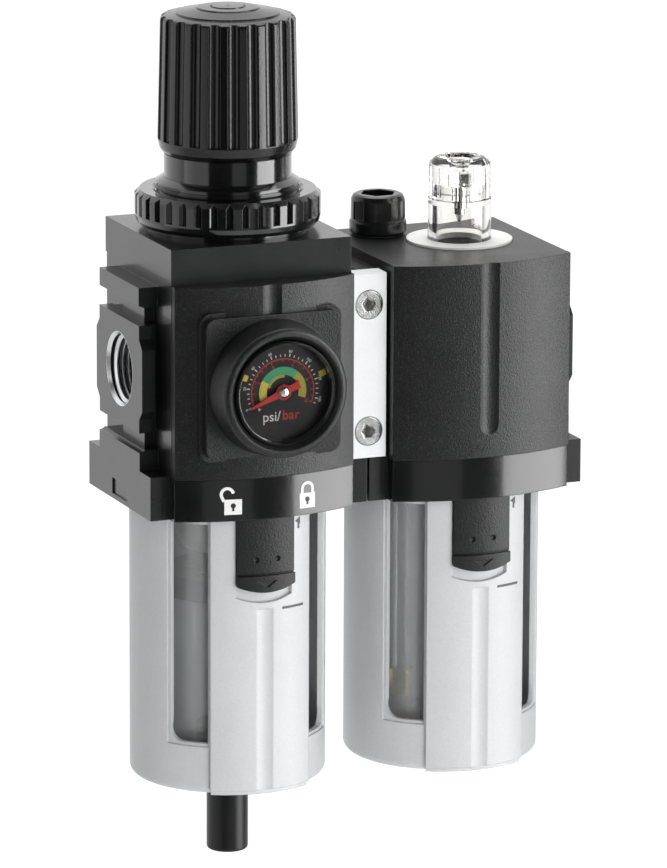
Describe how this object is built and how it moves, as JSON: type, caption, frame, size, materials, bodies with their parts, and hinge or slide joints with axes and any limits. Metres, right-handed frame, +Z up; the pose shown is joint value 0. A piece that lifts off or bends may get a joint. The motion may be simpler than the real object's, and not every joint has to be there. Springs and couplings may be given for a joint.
{
  "type": "filter regulator lubricator",
  "caption": "Compressed-air filter regulator with gauge, clamped to a lubricator with sight dome; both have clear bowls in latched metal guards.",
  "frame": {"origin": "centre of the inlet port's mouth on the filter regulator", "axes": "+X with the air flow from filter regulator to lubricator, +Y to the back, +Z up along the knob and bowl axes"},
  "size_m": [0.1379, 0.0805, 0.2568],
  "materials": {
    "gloss_black_paint": "smooth gloss black enamel on die-cast metal",
    "satin_black_paint": "satin black enamel on die-cast metal",
    "textured_black_plastic": "fine spark-textured black moulding",
    "gloss_black_plastic": "smooth black moulding",
    "satin_black_plastic": "satin black moulding",
    "silver_paint": "light metallic silver-grey paint",
    "clear_plastic": "clear polycarbonate",
    "white_plastic": "white moulding",
    "natural_plastic": "natural acetal",
    "element_white": "sintered polymer",
    "red_enamel": "red enamel",
    "yellow_enamel": "yellow enamel",
    "dial_black": "black dial with printed scales",
    "zinc_steel": "bright zinc-plated steel",
    "spring_steel": "spring wire",
    "brass": "turned brass",
    "aluminium": "cast aluminium",
    "rubber": "nitrile rubber"
  },
  "bodies": {
    "housing": {"fr_body": "gloss_black_paint", "fr_front_cover": "textured_black_plastic", "fr_collar_cover": "gloss_black_plastic", "bonnet": "gloss_black_plastic", "valve_seat": "brass", "valve_retainer": "natural_plastic", "deflector": "satin_black_plastic", "filter_element": "element_white", "element_baffle": "satin_black_plastic", "gauge_case": "gloss_black_plastic", "gauge_ring": "gloss_black_plastic", "gauge_glass": "clear_plastic", "gauge_dial": "dial_black", "gauge_movement": "brass", "bourdon_tube": "brass", "gauge_markers": "yellow_enamel", "lub_body": "satin_black_paint", "lub_front_cover": "textured_black_plastic", "lub_collar_cover": "gloss_black_plastic", "dome_ring": "white_plastic", "sight_dome": "clear_plastic", "flow_guide": "natural_plastic", "siphon_tube": "clear_plastic", "siphon_strainer": "brass", "clamp_front": "aluminium", "clamp_rear": "aluminium", "clamp_screws": "zinc_steel", "module_gasket": "rubber", "diaphragm": "rubber", "valve_spring": "spring_steel", "range_spring": "spring_steel"},
    "panel_nut": {"panel_nut": "gloss_black_plastic"},
    "adjusting_screw": {"adjusting_screw": "zinc_steel"},
    "adjusting_knob": {"adjusting_knob": "satin_black_plastic", "knob_cap": "satin_black_plastic"},
    "spring_nut": {"spring_nut": "brass"},
    "valve": {"diaphragm_plate": "aluminium", "valve_stem": "brass", "valve_poppet": "rubber"},
    "filter_bowl_unit": {"filter_guard": "silver_paint", "filter_bowl": "clear_plastic", "filter_bowl_oring": "rubber", "drain_body": "satin_black_plastic", "drain_nut": "satin_black_plastic", "drain_spring": "spring_steel"},
    "filter_latch": {"filter_latch": "textured_black_plastic"},
    "drain_valve": {"drain_tube": "satin_black_plastic", "drain_stem": "brass"},
    "gauge_sector": {"gauge_sector": "brass"},
    "gauge_needle": {"gauge_needle": "red_enamel", "gauge_pinion": "brass"},
    "drip_knob": {"drip_knob": "clear_plastic"},
    "drip_needle": {"drip_needle": "zinc_steel"},
    "fill_plug_oring": {"fill_plug_oring": "rubber"},
    "fill_plug": {"fill_plug": "gloss_black_plastic"},
    "check_ball": {"check_ball": "zinc_steel"},
    "lub_bowl_unit": {"lub_guard": "silver_paint", "lub_bowl": "clear_plastic", "lub_bowl_oring": "rubber"},
    "lub_latch": {"lub_latch": "textured_black_plastic"}
  },
  "joints": [
    {"name": "panel_nut_turn", "type": "hinge", "parent": "housing", "child": "panel_nut", "pos_m": [0.0343, 0, 0.047], "axis": [0, 0, 1], "range_deg": [0, 360]},
    {"name": "knob_turn", "type": "hinge", "parent": "housing", "child": "adjusting_screw", "pos_m": [0.0343, 0, 0.094], "axis": [0, 0, 1], "range_deg": [-1800, 0]},
    {"name": "knob_pull", "type": "slide", "parent": "adjusting_screw", "child": "adjusting_knob", "axis": [0, 0, 1], "range_m": [0, 0.004]},
    {"name": "spring_nut_travel", "type": "slide", "parent": "housing", "child": "spring_nut", "axis": [0, 0, 1], "range_m": [-0.0075, 0], "deforming": ["range_spring"]},
    {"name": "valve_lift", "type": "slide", "parent": "housing", "child": "valve", "axis": [0, 0, 1], "range_m": [-0.0013, 0], "stiffness_N_per_m": 1500, "springref_m": 0.001, "deforming": ["valve_spring", "diaphragm"]},
    {"name": "filter_bowl_turn", "type": "hinge", "parent": "housing", "child": "filter_bowl_unit", "pos_m": [0.0343, 0, -0.04], "axis": [0, 0, 1], "range_deg": [-45, 0]},
    {"name": "filter_latch_slide", "type": "slide", "parent": "filter_bowl_unit", "child": "filter_latch", "axis": [0, 0, 1], "range_m": [-0.0035, 0], "stiffness_N_per_m": 1500, "springref_m": 0.002},
    {"name": "drain_push", "type": "slide", "parent": "filter_bowl_unit", "child": "drain_valve", "axis": [0, 0, 1], "range_m": [0, 0.003], "stiffness_N_per_m": 1500, "springref_m": -0.002, "deforming": ["drain_spring"]},
    {"name": "gauge_sector_swing", "type": "hinge", "parent": "housing", "child": "gauge_sector", "pos_m": [0.0343, -0.04, 0.0107], "axis": [0, 1, 0], "range_deg": [-34.79, 0]},
    {"name": "gauge_needle_turn", "type": "hinge", "parent": "housing", "child": "gauge_needle", "pos_m": [0.0343, -0.04, -0.0005], "axis": [0, 1, 0], "range_deg": [0, 225]},
    {"name": "drip_knob_turn", "type": "hinge", "parent": "housing", "child": "drip_knob", "pos_m": [0.10875, 0, 0.044], "axis": [0, 0, 1], "range_deg": [0, 300]},
    {"name": "drip_needle_lift", "type": "slide", "parent": "drip_knob", "child": "drip_needle", "axis": [0, 0, 1], "range_m": [0, 0.000416]},
    {"name": "fill_plug_lift", "type": "slide", "parent": "housing", "child": "fill_plug_oring", "axis": [0, 0, 1], "range_m": [0, 0.008]},
    {"name": "fill_plug_turn", "type": "hinge", "parent": "fill_plug_oring", "child": "fill_plug", "pos_m": [0.08955, 0.0173, 0.031], "axis": [0, 0, 1], "range_deg": [0, 1920]},
    {"name": "check_ball_lift", "type": "slide", "parent": "housing", "child": "check_ball", "axis": [0, 0, 1], "range_m": [0, 0.0018]},
    {"name": "lub_bowl_turn", "type": "hinge", "parent": "housing", "child": "lub_bowl_unit", "pos_m": [0.10355, 0, -0.04], "axis": [0, 0, 1], "range_deg": [-45, 0]},
    {"name": "lub_latch_slide", "type": "slide", "parent": "lub_bowl_unit", "child": "lub_latch", "axis": [0, 0, 1], "range_m": [-0.0035, 0], "stiffness_N_per_m": 1500, "springref_m": 0.002}
  ],
  "couplings": [
    {"joint": "knob_turn", "follows": "spring_nut_travel", "rad_per_m": 4188.8},
    {"joint": "gauge_needle_turn", "follows": "gauge_sector_swing", "ratio": -6.4667},
    {"joint": "drip_knob_turn", "follows": "drip_needle_lift", "rad_per_m": 12566},
    {"joint": "fill_plug_turn", "follows": "fill_plug_lift", "rad_per_m": 4188.8}
  ]
}
